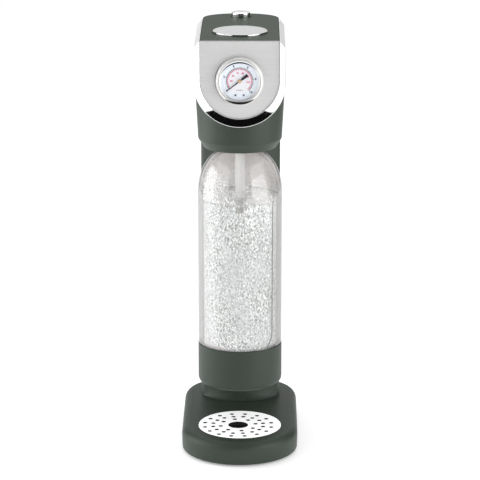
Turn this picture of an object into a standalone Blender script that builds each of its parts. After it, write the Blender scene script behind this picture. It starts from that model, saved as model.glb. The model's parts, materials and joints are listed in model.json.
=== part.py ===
"""Soda carbonator: base with drip tray, column with CO2 cylinder, head with gauge and buttons.

Blender 4.5, metres, +Z up. X is the width, -Y is the front. The origin is on the table,
at the middle of the machine's footprint. Dimensions below are in millimetres.
"""

import math

import bmesh
import bpy

MM = 0.001
GAP = 0.3

# Base
BASE_R = 58.8
BASE_FRONT_Y = -47.0
BASE_SIDE_Y = 60.0
BASE_BACK_DEPTH = 46.0
BASE_Z0, BASE_Z1 = 1.8, 25.0
BASE_FILLET = 8.5
BASE_WALL = 3.0
FOOT_SPOTS = ((-34, -58), (34, -58), (-38, 78), (38, 78))
FOOT_R, FOOT_Z1 = 9.0, 1.7
PLATE_Z0, PLATE_Z1 = 2.0, 4.4
SCREW_SPOTS = ((-46, -20), (46, -20), (-46, 62), (46, 62))
SCREW_R = 1.6

# Drip tray and grid
TRAY_R = 41.9
TRAY_Z0, TRAY_Z1 = 8.8, 22.7
TRAY_WALL = 2.0
WELL_FLOOR_Z0, WELL_FLOOR_Z1 = 6.0, 8.5
GRID_Z0, GRID_Z1 = 23.0, 25.2
GRID_CENTRE_R = 10.1
GRID_HOLE_R = 1.9
GRID_RINGS = ((18.0, 8), (25.8, 16), (34.3, 16))
GRID_X, GRID_Y = -1.6, BASE_FRONT_Y - 2.2
GRID_TURN = math.pi / 16

# Column and rear cover
COLUMN_HALF = 40.7
COLUMN_FRONT_Y = 32.7
COLUMN_FRONT_R = 59.0
COLUMN_CORNER_X = 35.0
COLUMN_Z1 = 309.0
COLUMN_WALL = 3.0
BACK_Y = 75.0
BACK_DEPTH = 29.5
COVER_WALL = 2.5
COVER_Z0, COVER_Z1 = 25.6, 418.0
FOOT_FLARE = ((25.3, 8.0), (27.5, 5.2), (31.0, 2.8), (37.0, 1.0), (46.0, 0.0))

# CO2 cylinder, its valve and its socket
CYL_Y = 69.0
CYL_R = 30.0
CYL_Z0, CYL_Z1 = 28.4, 338.0
VALVE_R = 9.0
SOCKET_R = 12.4

# Bottle: its axis, its jacket, its shoulder and its neck
BOTTLE_Y = -20.0
BOTTLE_R = 42.5
CUP_Z0, CUP_Z1 = 63.9, 106.4
SHOULDER_Z = 260.0
SHOULDER_H = 50.0
SHOULDER_POWER = 2.3
NECK_R = 16.5
NECK_Z1 = 330.0
BOTTLE_WALL = 2.0

# Head
RIM_R, RIM_Z = 35.9, 309.4
BOWL_R, BOWL_Z = 41.8, 318.4
BOWL_TOP_R, BOWL_TOP_Z = 44.7, 372.0
HEAD_WALL = 2.5
BAND_HALF = 45.0
BAND_ARC_Z = 382.4
BAND_FRONT_Y = -66.0
BAND_REAR_SHARE = 0.25
BAND_REAR_Y = 74.7
BAND_SHORT_Z = 366.0
BAND_SIDE_X, BAND_SIDE_Y = 27.0, -30.0
BAND_LOW_Y = -49.0
PANEL_HALF = 39.1
PANEL_ARC_Z = 384.9
PANEL_Y = -61.0
SHOULDER_TOP_Z = 415.3
TOP_Z = 422.4
TOP_THICK = 4.0
GAUGE_Z = 383.4
BEZEL_R = 23.5
DIAL_R = 19.1

# Buttons, lever and chassis
BUTTON_Y, BUTTON_R = -9.6, 27.2
RELEASE_Y, RELEASE_R = 87.0, 10.0
SHELF_Z0, SHELF_Z1 = 384.0, 387.0
LEVER_Y, LEVER_Z = 90.0, 405.0
TILT_Z = 345.0

PLASTIC_GREEN = (0.075, 0.095, 0.074)


def material(name, colour, roughness, metallic=0.0):
    """A Principled material, made once for each name."""
    made = bpy.data.materials.get(name)
    if made is None:
        made = bpy.data.materials.new(name)
        made.use_nodes = True
        shader = made.node_tree.nodes["Principled BSDF"]
        shader.inputs["Base Color"].default_value = (*colour, 1)
        shader.inputs["Roughness"].default_value = roughness
        shader.inputs["Metallic"].default_value = metallic
    return made


def materials():
    return {
        "body": material("body_plastic", PLASTIC_GREEN, 0.4),
        "steel": material("brushed_plate", (0.66, 0.66, 0.66), 0.32, 1.0),
        "chrome": material("chrome_trim", (0.85, 0.85, 0.86), 0.06, 1.0),
        "grid": material("drip_grid_white", (0.86, 0.87, 0.88), 0.35),
        "black": material("black_plastic", (0.015, 0.015, 0.017), 0.5),
        "rubber": material("rubber_black", (0.02, 0.02, 0.02), 0.8),
        "clear": material("clear_bottle", (0.85, 0.88, 0.9), 0.08),
        "lens": material("clear_lens", (0.9, 0.93, 0.96), 0.05),
        "dial": material("dial_face", (0.76, 0.82, 0.93), 0.5),
        "brass": material("brass_parts", (0.7, 0.5, 0.25), 0.3, 1.0),
        "cylinder": material("cylinder_paint", (0.55, 0.57, 0.6), 0.4),
        "spring": material("spring_steel", (0.5, 0.5, 0.52), 0.3, 1.0),
    }


def add(name, bm, finish, origin=(0, 0, 0)):
    """A named object from a bmesh in millimetres, with its origin at a point in millimetres."""
    bmesh.ops.recalc_face_normals(bm, faces=bm.faces)
    for vertex in bm.verts:
        vertex.co = [(c - o) * MM for c, o in zip(vertex.co, origin)]
    mesh = bpy.data.meshes.new(name)
    bm.to_mesh(mesh)
    bm.free()
    mesh.materials.append(finish)
    item = bpy.data.objects.new(name, mesh)
    item.location = [o * MM for o in origin]
    bpy.context.scene.collection.objects.link(item)
    return item


def loft(rings, closed=False):
    """A bmesh skin over rings of equally many points; capped, or joined end to end if closed."""
    bm = bmesh.new()
    loops = [[bm.verts.new(p) for p in ring] for ring in rings]
    pairs = list(zip(loops, loops[1:] + loops[:1] if closed else loops[1:]))
    count = len(rings[0])
    for low, high in pairs:
        for i in range(count):
            j = (i + 1) % count
            bm.faces.new((low[i], low[j], high[j], high[i]))
    if not closed:
        bm.faces.new(loops[0][::-1])
        bm.faces.new(loops[-1])
    return bm


def prism(outline, low, high):
    return loft([[(x, y, z) for x, y in outline] for z in (low, high)])


def circle(x, y, radius, sides=28):
    turn = 2 * math.pi / sides
    return [(x + radius * math.cos(i * turn), y + radius * math.sin(i * turn)) for i in range(sides)]


def turned(profile, x=0.0, y=0.0, sides=28, hollow=False):
    """A solid of revolution about a vertical axis: profile is (radius, z) from bottom to top.

    With hollow, the profile is a closed loop that never reaches the axis.
    """
    rings = [[(px, py, z) for px, py in circle(x, y, r, sides)] for r, z in profile]
    return loft(rings, closed=hollow)


def turned_y(profile, x, z, sides=24, hollow=False):
    """The same about an axis along Y: profile is (radius, y) from front to back."""
    rings = [[(px, y, pz) for px, pz in circle(x, z, r, sides)] for r, y in profile]
    return loft(rings, closed=hollow)


def turned_x(profile, y, z, sides=16):
    """The same about an axis along X: profile is (radius, x)."""
    return loft([[(x, py, pz) for py, pz in circle(y, z, r, sides)] for r, x in profile])


def box(x0, x1, y0, y1, z0, z1):
    return prism([(x0, y0), (x1, y0), (x1, y1), (x0, y1)], z0, z1)


def carve(target, shapes, operation="DIFFERENCE"):
    """Cut bmesh shapes from a finished object, or join them to it, and keep the result."""
    for shape in shapes:
        tool = add("tool", shape, target.data.materials[0])
        bool_mod = target.modifiers.new("carve", "BOOLEAN")
        bool_mod.operation = operation
        bool_mod.solver = "EXACT"
        bool_mod.object = tool
        bpy.context.view_layer.update()
        evaluated = target.evaluated_get(bpy.context.evaluated_depsgraph_get())
        result = bpy.data.meshes.new_from_object(evaluated)
        target.modifiers.remove(bool_mod)
        target.data = result
        bpy.data.objects.remove(tool)
    return target


def superellipse(angle, half_x, half_y, power):
    c, s = math.cos(angle), math.sin(angle)
    x = math.copysign(abs(c) ** (2 / power), c) * half_x
    y = math.copysign(abs(s) ** (2 / power), s) * half_y
    return x, y


# ---------------------------------------------------------------- base


def base_outline(inset, sides=16):
    """The base in plan: half round in front, straight sides, a full round back."""
    radius = BASE_R - inset
    front = [
        (radius * math.cos(a), BASE_FRONT_Y + radius * math.sin(a))
        for a in (math.pi + math.pi * i / sides for i in range(sides + 1))
    ]
    back = []
    for i in range(1, sides):
        x, y = superellipse(math.pi * i / sides, radius, BASE_BACK_DEPTH - inset * 0.15, 2.5)
        back.append((x, BASE_SIDE_Y + y))
    return front + [(radius, BASE_SIDE_Y)] + back + [(-radius, BASE_SIDE_Y)]


def base_levels():
    """(z, inset) from the bottom edge to the filleted top edge."""
    levels = [(BASE_Z0, 1.6), (BASE_Z0 + 1.6, 0.4)]
    for i in range(6):
        turn = math.pi / 2 * i / 5
        z = BASE_Z1 - BASE_FILLET * (1 - math.sin(turn))
        levels.append((z, BASE_FILLET * (1 - math.cos(turn))))
    return levels


def build_base(finish):
    rings = [[(x, y, z) for x, y in base_outline(inset)] for z, inset in base_levels()]
    shell = add("base_shell", loft(rings), finish["body"])
    inner_low = [(x, y, BASE_Z0 - 1) for x, y in base_outline(BASE_WALL)]
    inner_mid = [(x, y, BASE_Z1 - BASE_FILLET) for x, y in base_outline(BASE_WALL)]
    inner_top = [(x, y, BASE_Z1 - BASE_WALL) for x, y in base_outline(BASE_WALL + BASE_FILLET)]
    carve(shell, [loft([inner_low, inner_mid, inner_top])])
    pocket = prism(circle(0, BASE_FRONT_Y, TRAY_R + 3.0), WELL_FLOOR_Z0, BASE_Z1 - 1.5)
    bosses = [prism(circle(x, y, 4.0, 12), PLATE_Z1 + GAP, BASE_Z1 - 2) for x, y in SCREW_SPOTS]
    carve(shell, [pocket, *bosses], "UNION")
    well = prism(circle(0, BASE_FRONT_Y, TRAY_R + 0.4), WELL_FLOOR_Z1, BASE_Z1 + 1)
    holes = [prism(circle(x, y, SCREW_R + GAP, 8), 0, 14.5) for x, y in SCREW_SPOTS]
    carve(shell, [well, *holes])

    plate_outline = base_outline(BASE_WALL + GAP)
    plate = add("base_plate", prism(plate_outline, PLATE_Z0, PLATE_Z1), finish["black"])
    carve(plate, [prism(circle(x, y, SCREW_R + GAP, 8), 0, 8) for x, y in SCREW_SPOTS])
    for number, (x, y) in enumerate(SCREW_SPOTS, 1):
        profile = [(3.2, 0.5), (3.2, PLATE_Z0 - GAP), (SCREW_R, PLATE_Z0 - GAP + 0.01), (SCREW_R, 14.0)]
        add(f"base_screw_{number}", turned(profile, x, y, 8), finish["steel"])
    for number, (x, y) in enumerate(FOOT_SPOTS, 1):
        profile = [(FOOT_R - 1, 0), (FOOT_R, 0.8), (FOOT_R, FOOT_Z1)]
        add(f"foot_{number}", turned(profile, x, y, 16), finish["rubber"])


def build_drip_tray(finish):
    inner = TRAY_R - TRAY_WALL
    profile = [
        (TRAY_R - 1.5, TRAY_Z0),
        (TRAY_R, TRAY_Z0 + 1.5),
        (TRAY_R, TRAY_Z1),
        (inner, TRAY_Z1),
        (inner, TRAY_Z0 + TRAY_WALL + 1),
        (inner - 1, TRAY_Z0 + TRAY_WALL),
    ]
    add("drip_tray", turned(profile, 0, BASE_FRONT_Y), finish["black"], (0, BASE_FRONT_Y, TRAY_Z0))
    rim = [(TRAY_R, GRID_Z0), (TRAY_R, GRID_Z1 - 0.5), (TRAY_R - 0.5, GRID_Z1)]
    grid = add("drip_grid", turned(rim, 0, BASE_FRONT_Y), finish["grid"])
    holes = [prism(circle(GRID_X, GRID_Y, GRID_CENTRE_R, 24), GRID_Z0 - 1, GRID_Z1 + 1)]
    for radius, count in GRID_RINGS:
        for i in range(count):
            a = GRID_TURN + 2 * math.pi * i / count
            x, y = GRID_X + radius * math.cos(a), GRID_Y + radius * math.sin(a)
            holes.append(prism(circle(x, y, GRID_HOLE_R, 6), GRID_Z0 - 1, GRID_Z1 + 1))
    carve(grid, [joined(holes)])


def joined(shapes):
    """One bmesh of separate shapes that don't touch."""
    whole = bmesh.new()
    for shape in shapes:
        mesh = bpy.data.meshes.new("shape")
        bmesh.ops.recalc_face_normals(shape, faces=shape.faces)
        shape.to_mesh(mesh)
        shape.free()
        whole.from_mesh(mesh)
        bpy.data.meshes.remove(mesh)
    return whole


# ---------------------------------------------------------------- column and cylinder


def column_path(inset, flare=0.0):
    """The column in plan, from its left rear edge round the front to its right rear edge.

    The flare pushes the front forward, and fades to nothing at the sides.
    """
    half = COLUMN_HALF - inset
    corner_x = COLUMN_CORNER_X - inset * 0.6
    radius = COLUMN_FRONT_R - inset
    centre_y = COLUMN_FRONT_Y + COLUMN_FRONT_R
    points = []
    for i in range(9):
        x = corner_x * (i / 8)
        points.append((x, centre_y - math.sqrt(radius * radius - x * x)))
    corner_y = points[-1][1]
    for i in range(1, 5):
        turn = math.pi / 2 * i / 4
        points.append((corner_x + (half - corner_x) * math.sin(turn), corner_y + 7 * (1 - math.cos(turn))))
    points.append((half, 62))
    points.append((half, BACK_Y - GAP))
    out = [(x, y - flare * (1 - (x / half) ** 4)) for x, y in points]
    return [(-x, y) for x, y in out[:0:-1]] + out


def build_column(finish):
    inner = column_path(COLUMN_WALL)[::-1]
    rings = []
    for z, flare in (*FOOT_FLARE, (COLUMN_Z1, 0.0)):
        rings.append([(x, y, z) for x, y in column_path(0, flare) + inner])
    add("column_shell", loft(rings), finish["body"])

    wall = rear_path(0) + rear_path(COVER_WALL)[::-1]
    rings = [[(x, y, z) for x, y in wall] for z in (COVER_Z0, COVER_Z1 - 4)]
    edge = rear_path(1.4) + rear_path(COVER_WALL)[::-1]
    rings.append([(x, y, COVER_Z1) for x, y in edge])
    add("rear_cover", loft(rings), finish["body"], (0, BACK_Y, COVER_Z0))
    inside = BACK_Y + BACK_DEPTH - COVER_WALL
    clip = box(-6, 6, inside - 6, inside - 3 * GAP, SHELF_Z1 + 1, SHELF_Z1 + 9)
    add("cover_clip", clip, finish["black"])


def rear_path(inset, sides=16):
    """The rear cover in plan, a half ellipse from right to left."""
    half_x, half_y = COLUMN_HALF - inset, BACK_DEPTH - inset
    return [
        (half_x * math.cos(a), BACK_Y + half_y * math.sin(a))
        for a in (math.pi * i / sides for i in range(sides + 1))
    ]


def build_cylinder(finish):
    add("cylinder_rest", turned([(27, 25.3), (29, 26), (29, 28.1)], 0, CYL_Y, 16), finish["rubber"])
    shoulder = []
    for i in range(5):
        turn = math.pi / 2 * i / 4
        shoulder.append((12 + (CYL_R - 12) * math.cos(turn), CYL_Z1 + 20 * math.sin(turn)))
    profile = [(CYL_R - 5, CYL_Z0), (CYL_R, CYL_Z0 + 5), *shoulder, (12, 366)]
    add("co2_cylinder", turned(profile, 0, CYL_Y), finish["cylinder"], (0, CYL_Y, CYL_Z0))
    valve = [
        (12, 366.3),
        (12, 374),
        (VALVE_R, 374.01),
        (VALVE_R, 386),
        (3.2, 386.01),
        (3.2, 380),
    ]
    add("cylinder_valve", turned(valve, 0, CYL_Y, 16), finish["brass"], (0, CYL_Y, 366.3))
    socket = [
        (VALVE_R + 0.4, 376),
        (SOCKET_R, 376.01),
        (SOCKET_R, 399),
        (2.6, 399.01),
        (2.6, 387),
        (VALVE_R + 0.4, 386.99),
    ]
    add("valve_socket", turned(socket, 0, CYL_Y, 16, hollow=True), finish["brass"])
    pin = [(2.0, 383.5), (2.0, 401.7)]
    add("actuator_pin", turned(pin, 0, CYL_Y, 12), finish["spring"], (0, CYL_Y, 383.5))


# ---------------------------------------------------------------- bottle and its seat


def shoulder_curve(inset, steps=6):
    """(radius, z) up the bottle's shoulder until it meets the neck."""
    points = []
    for i in range(steps + 1):
        turn = math.radians(68) * i / steps
        x, z = superellipse(turn, BOTTLE_R - inset, SHOULDER_H - inset, SHOULDER_POWER)
        points.append((x, SHOULDER_Z + z))
    return points


def build_bottle(finish):
    jacket_r = BOTTLE_R - 2.5
    low = CUP_Z0 + 2.5
    outer = [(jacket_r - 5, low), (jacket_r, low + 5), (jacket_r, CUP_Z1 + GAP)]
    outer += [(BOTTLE_R, CUP_Z1 + GAP + 0.01), *shoulder_curve(0), (NECK_R, 307), (NECK_R, NECK_Z1)]
    inside = BOTTLE_R - BOTTLE_WALL
    neck_in = NECK_R - BOTTLE_WALL
    inner = [(neck_in, NECK_Z1), (neck_in, 306), *shoulder_curve(BOTTLE_WALL)[::-1]]
    inner += [(inside, CUP_Z1 + 4), (jacket_r - 2, CUP_Z1), (jacket_r - 2, low + 6), (jacket_r - 6, low + 2)]
    add("bottle", turned(outer + inner, 0, BOTTLE_Y), finish["clear"], (0, BOTTLE_Y, low))
    cup_in = jacket_r + GAP
    cup = [
        (BOTTLE_R - 5.0, CUP_Z0),
        (BOTTLE_R - 1.5, CUP_Z0 + 1.5),
        (BOTTLE_R, CUP_Z0 + 5.0),
        (BOTTLE_R, CUP_Z1),
        (cup_in, CUP_Z1),
        (cup_in, low + 4.8),
        (cup_in - 4.8, low - GAP),
    ]
    add("bottle_cup", turned(cup, 0, BOTTLE_Y), finish["body"], (0, BOTTLE_Y, CUP_Z0))


def build_seat(finish):
    bore = NECK_R + 0.4
    seat = [
        (22.0, 312),
        (22.0, 350),
        (19.0, 351),
        (5.4, 351.01),
        (5.4, 334.2),
        (bore, 334.19),
        (bore, 312.01),
    ]
    add("bottle_seat", turned(seat, 0, BOTTLE_Y, 24, hollow=True), finish["black"], (0, BOTTLE_Y, TILT_Z))
    seal = [(7, 330.6), (16.5, 330.61), (16.5, 333.9), (7, 333.89)]
    add("bottle_seal", turned(seal, 0, BOTTLE_Y, 24, hollow=True), finish["rubber"])
    add("dip_tube", turned([(5.0, 253.7), (5.0, 346)], 0, BOTTLE_Y, 16), finish["clear"])
    tip = [(2.4, 239), (3.2, 240), (3.2, 253.4)]
    add("nozzle_tip", turned(tip, 0, BOTTLE_Y, 12), finish["clear"])
    for side, name in ((-1, "seat_pin_left"), (1, "seat_pin_right")):
        add(name, turned_x([(3, side * 22.3), (3, side * 31)], BOTTLE_Y, TILT_Z), finish["steel"])
    top = box(-29, 29, BOTTLE_Y - 12, BOTTLE_Y + 12, 358, 361)
    bracket = add("seat_bracket", top, finish["black"])
    legs = []
    for side in (-1, 1):
        x0, x1 = sorted((side * 25.8, side * 29))
        legs.append(box(x0, x1, BOTTLE_Y - 7, BOTTLE_Y + 7, 338, SHELF_Z0 - GAP))
    carve(bracket, legs, "UNION")
    bores = [turned_x([(3.4, side * 24), (3.4, side * 30)], BOTTLE_Y, TILT_Z) for side in (-1, 1)]
    carve(bracket, bores)
    fitting = box(-36, -31.4, BOTTLE_Y - 4, BOTTLE_Y + 4, TILT_Z - 4, TILT_Z + 4)
    add("swivel_fitting", fitting, finish["brass"])


# ---------------------------------------------------------------- head


def u_path(half, arc_z, top_z, sides=18):
    """A U in the XZ plane, from the left top round the bottom to the right top."""
    points = [(-half, top_z), (-half, arc_z + (top_z - arc_z) * 0.8)]
    for i in range(sides + 1):
        a = math.pi + math.pi * i / sides
        points.append((half * math.cos(a), arc_z + half * math.sin(a)))
    return points + [(half, arc_z + (top_z - arc_z) * 0.8), (half, top_z)]


def head_outline(radius, inset=0.0, sides=16):
    """The head in plan: half round about the bottle, widening to the column's width behind."""
    radius -= inset
    front = [
        (radius * math.cos(a), BOTTLE_Y + radius * math.sin(a))
        for a in (math.pi + math.pi * i / sides for i in range(sides + 1))
    ]
    wide = max(radius, COLUMN_HALF + GAP - inset)
    back = [(wide, COLUMN_FRONT_Y), (wide, BAND_REAR_Y)]
    return front + back + [(-x, y) for x, y in back[::-1]]


def build_head_body(finish):
    levels = [(RIM_Z, RIM_R), (BOWL_Z, BOWL_R), (BOWL_TOP_Z, BOWL_TOP_R)]
    rings = [[(x, y, z) for x, y in head_outline(r)] for z, r in levels]
    body = add("head_body", loft(rings), finish["body"])
    floor_z = RIM_Z + HEAD_WALL
    hollow = [(floor_z, RIM_R + 1), (BOWL_Z, BOWL_R), (BOWL_TOP_Z + 1, BOWL_TOP_R)]
    inner = [[(x, y, z) for x, y in head_outline(r, HEAD_WALL)] for z, r in hollow]
    mouth = prism(circle(0, BOTTLE_Y, RIM_R - HEAD_WALL, 32), RIM_Z - 1, floor_z + 1)
    shaft = prism(column_path(COLUMN_WALL), RIM_Z - 1, floor_z + 1)
    outside = u_path(BAND_HALF + GAP, BAND_ARC_Z, BOWL_TOP_Z + 30)
    u_cut = loft([[(x, y, z) for x, z in outside] for y in (-90, BAND_REAR_Y + 5)])
    carve(body, [loft(inner), mouth, shaft, u_cut])


def build_band(finish):
    """The chrome band: a U swept back from the front, with a deep flared bevel round the panel."""
    outer = u_path(BAND_HALF, BAND_ARC_Z, SHOULDER_TOP_Z)
    inner = u_path(PANEL_HALF + GAP, PANEL_ARC_Z, TOP_Z)
    thin = u_path(BAND_HALF - 2.2, BAND_ARC_Z, SHOULDER_TOP_Z)
    thin[:2] = inner[:2]
    thin[-2:] = inner[-2:]
    stations = []
    for out, edge, back in zip(outer, inner, thin):
        rear = BAND_REAR_Y
        if out[1] < BAND_SHORT_Z:
            rear = BAND_SIDE_Y if abs(out[0]) > BAND_SIDE_X else BAND_LOW_Y
        pull = [o + (e - o) * BAND_REAR_SHARE for o, e in zip(out, edge)]
        stations.append([
            (out[0], BAND_FRONT_Y, out[1]),
            (edge[0], PANEL_Y, edge[1]),
            (edge[0], PANEL_Y + 4, edge[1]),
            (back[0], PANEL_Y + 4.3, back[1]),
            (back[0], rear, back[1]),
            (pull[0], rear, pull[1]),
            (out[0], rear - 3, out[1]),
        ])
    add("chrome_band", loft(stations), finish["chrome"])


def build_panel(finish):
    outline = u_path(PANEL_HALF, PANEL_ARC_Z, TOP_Z)
    panel = add(
        "front_plate",
        loft([[(x, y, z) for x, z in outline] for y in (PANEL_Y, PANEL_Y + 2)]),
        finish["steel"],
    )
    carve(panel, [turned_y([(21, PANEL_Y - 2), (21, PANEL_Y + 4)], 0, GAUGE_Z, 32)])

    front = PANEL_Y + 2 + GAP
    half = PANEL_HALF
    outline = [(-half, front), (half, front), (half, BACK_Y)]
    for i in range(1, 20):
        a = math.pi * i / 20
        outline.append((half * math.cos(a), BACK_Y + BACK_DEPTH * math.sin(a)))
    outline.append((-half, BACK_Y))
    cover = add("top_cover", prism(outline, TOP_Z - TOP_THICK, TOP_Z), finish["body"])
    holes = [
        prism(circle(0, BUTTON_Y, BUTTON_R + 0.5, 40), TOP_Z - 8, TOP_Z + 2),
        prism(circle(0, RELEASE_Y, RELEASE_R + 0.5, 24), TOP_Z - 8, TOP_Z + 2),
    ]
    carve(cover, holes)


def build_gauge(finish):
    front = PANEL_Y - GAP
    bezel = [
        (BEZEL_R, front),
        (BEZEL_R, front - 5.0),
        (BEZEL_R - 1.5, front - 6.5),
        (BEZEL_R - 3.2, front - 6.5),
        (DIAL_R + 0.3, front - 5.8),
        (DIAL_R + 0.3, front),
    ]
    add("gauge_bezel", turned_y(bezel, 0, GAUGE_Z, 32, hollow=True), finish["chrome"])
    dial = add("gauge_dial", turned_y([(DIAL_R, -62.6), (DIAL_R, -61.6)], 0, GAUGE_Z, 32), finish["dial"])
    carve(dial, [turned_y([(1.2, -64), (1.2, -60)], 0, GAUGE_Z, 12)])
    add("gauge_lens", turned_y([(DIAL_R, -66.8), (DIAL_R, -65.9)], 0, GAUGE_Z, 32), finish["lens"])
    add("gauge_pointer", pointer_shape(), finish["black"], (0, -64, GAUGE_Z))
    hub = turned_y([(1.6, -65.3), (2.1, -65.0), (2.1, -64.7)], 0, GAUGE_Z, 12)
    add("gauge_hub", hub, finish["brass"])
    spindle = turned_y([(0.8, -63.5), (0.8, -40)], 0, GAUGE_Z, 8)
    add("gauge_spindle", spindle, finish["brass"])
    for number, x in enumerate((-4, 4), 1):
        screw = turned_y([(0.7, -63.3), (0.9, -63.1), (0.9, -62.9)], x, GAUGE_Z - 14, 8)
        add(f"dial_screw_{number}", screw, finish["steel"])
    case = [(20.5, -60.8), (20.5, -36), (18.5, -38), (18.5, -60.8)]
    rings = [case[0], case[1], (3.0, -36), (3.0, -38), case[2], case[3]]
    add("gauge_case", turned_y(rings, 0, GAUGE_Z, 24, hollow=True), finish["black"])
    stem = turned_y([(4, -35.7), (4, -28)], 0, GAUGE_Z - 10.2, 12)
    add("gauge_stem", stem, finish["brass"])
    coil = []
    for i in range(13):
        a = math.radians(-60 + 240 * i / 12)
        ring = []
        for px, py in circle(0, 0, 1.8, 8):
            radius = 12 + px
            ring.append((radius * math.cos(a), -48 + py, GAUGE_Z + radius * math.sin(a)))
        coil.append(ring)
    add("bourdon_tube", loft(coil), finish["brass"])


def pointer_shape():
    """A flat hand to the lower left with a broad counterweight to the upper right."""
    tip_angle = math.radians(218)
    along = (math.cos(tip_angle), math.sin(tip_angle))
    side = (-along[1], along[0])
    outline = [(-10, -1.9), (-9, -2.4), (0, -2.0), (3, -0.7), (17.0, -0.25)]
    outline += [(u, -w) for u, w in outline[::-1]]
    flat = [(u * along[0] + w * side[0], GAUGE_Z + u * along[1] + w * side[1]) for u, w in outline]
    return loft([[(x, y, z) for x, z in flat] for y in (-64.4, -63.8)])


# ---------------------------------------------------------------- buttons, lever, chassis


def build_buttons(finish):
    cap = [(BUTTON_R, 412.5), (BUTTON_R, 423.7), (BUTTON_R - 1.2, 424.6), (14, 425.1), (2, 425.3)]
    button = add("carbonate_button", turned(cap, 0, BUTTON_Y), finish["steel"], (0, BUTTON_Y, 412.5))
    carve(button, [prism(circle(0, BUTTON_Y, BUTTON_R - 3), 411, 421.6)])
    add("button_stem", turned([(3, 408.3), (6, 411), (6, 419), (9, 421.3)], 0, BUTTON_Y, 16), finish["black"])
    spring = [(5.0, 387.3), (6.4, 387.31), (6.4, 401.7), (5.0, 401.69)]
    add("button_spring", turned(spring, 0, BUTTON_Y, 16, hollow=True), finish["spring"])

    release = [(RELEASE_R, 414), (RELEASE_R, 426.2), (RELEASE_R - 1.2, 427.0), (3, 427.3)]
    add("release_button", turned(release, 0, RELEASE_Y, 24), finish["chrome"], (0, RELEASE_Y, 414))
    add("release_stem", turned([(1.8, 392), (1.8, 413.7)], 0, RELEASE_Y, 12), finish["spring"])
    spring = [(2.8, 398.4), (3.8, 398.41), (3.8, 413.7), (2.8, 413.69)]
    add("release_spring", turned(spring, 0, RELEASE_Y, 12, hollow=True), finish["spring"])
    relief = [(4.2, 387.3), (4.2, 398.0), (2.3, 398.01), (2.3, 388.3)]
    add("relief_valve", turned(relief, 0, RELEASE_Y, 12), finish["brass"])


def build_lever(finish):
    low, high = LEVER_Z - 3, LEVER_Z + 3
    lever = add("lever", box(-13, 13, BUTTON_Y - 7, 96, low, high), finish["spring"], (0, LEVER_Y, LEVER_Z))
    carve(lever, [box(-9, 9, BUTTON_Y + 7, 62, low - 1, high + 1), box(-9, 9, 76, 98, low - 1, high + 1)])
    carve(lever, [turned_x([(2.9, side * 8), (2.9, side * 14)], LEVER_Y, LEVER_Z) for side in (-1, 1)])
    for side, name in ((-1, "lever_pin_left"), (1, "lever_pin_right")):
        add(name, turned_x([(2.5, side * 9.0), (2.5, side * 16.6)], LEVER_Y, LEVER_Z), finish["steel"])


def build_chassis(finish):
    outline = [(-36, BUTTON_Y - 11), (36, BUTTON_Y - 11), (36, BACK_Y)]
    for i in range(1, 12):
        a = math.pi * i / 12
        outline.append((36 * math.cos(a), BACK_Y + 23.5 * math.sin(a)))
    outline.append((-36, BACK_Y))
    chassis = add("chassis", prism(outline, SHELF_Z0, SHELF_Z1), finish["black"])
    extra = []
    for side in (-1, 1):
        x0, x1 = sorted((side * 27, side * 32.5))
        extra.append(box(x0, x1, 47, 52, 25.6, SHELF_Z1 - 1))
        x0, x1 = sorted((side * 13.4, side * 16.4))
        extra.append(box(x0, x1, LEVER_Y - 4.5, LEVER_Y + 4.5, SHELF_Z0 + 1, LEVER_Z + 4.5))
    carve(chassis, extra, "UNION")
    holes = [
        prism(circle(0, CYL_Y, SOCKET_R + 0.4, 24), SHELF_Z0 - 2, SHELF_Z1 + 2),
        prism(circle(-24, 30, 4.5, 12), SHELF_Z0 - 2, SHELF_Z1 + 2),
        prism(circle(0, 14.5, 5.0, 12), SHELF_Z0 - 2, SHELF_Z1 + 2),
    ]
    holes += [turned_x([(2.8, side * 12), (2.8, side * 18)], LEVER_Y, LEVER_Z) for side in (-1, 1)]
    carve(chassis, holes)
    add("manifold", box(-12, 12, 22, 40, SHELF_Z1 + GAP, 396), finish["brass"])


def tube(name, route, radius, finish):
    """A round tube with filled ends along a smooth curve through the route's points."""
    curve = bpy.data.curves.new(name, "CURVE")
    curve.dimensions = "3D"
    curve.bevel_depth = radius * MM
    curve.bevel_resolution = 2
    curve.render_resolution_u = 0
    curve.use_fill_caps = True
    points = smooth_route(route)
    spline = curve.splines.new("POLY")
    spline.points.add(len(points) - 1)
    for point, place in zip(spline.points, points):
        point.co = (*(c * MM for c in place), 1)
    curve.materials.append(finish)
    item = bpy.data.objects.new(name, curve)
    bpy.context.scene.collection.objects.link(item)
    return item


def smooth_route(route, steps=3):
    """Points on a Catmull-Rom curve through the route's points."""
    ends = [route[0], *route, route[-1]]
    points = []
    for p0, p1, p2, p3 in zip(ends, ends[1:], ends[2:], ends[3:]):
        for i in range(steps):
            t = i / steps
            point = []
            for a, b, c, d in zip(p0, p1, p2, p3):
                linear = (c - a) * t
                square = (2 * a - 5 * b + 4 * c - d) * t * t
                cube = (3 * b - a - 3 * c + d) * t**3
                point.append(b + (linear + square + cube) / 2)
            points.append(point)
    return points + [list(route[-1])]


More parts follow.
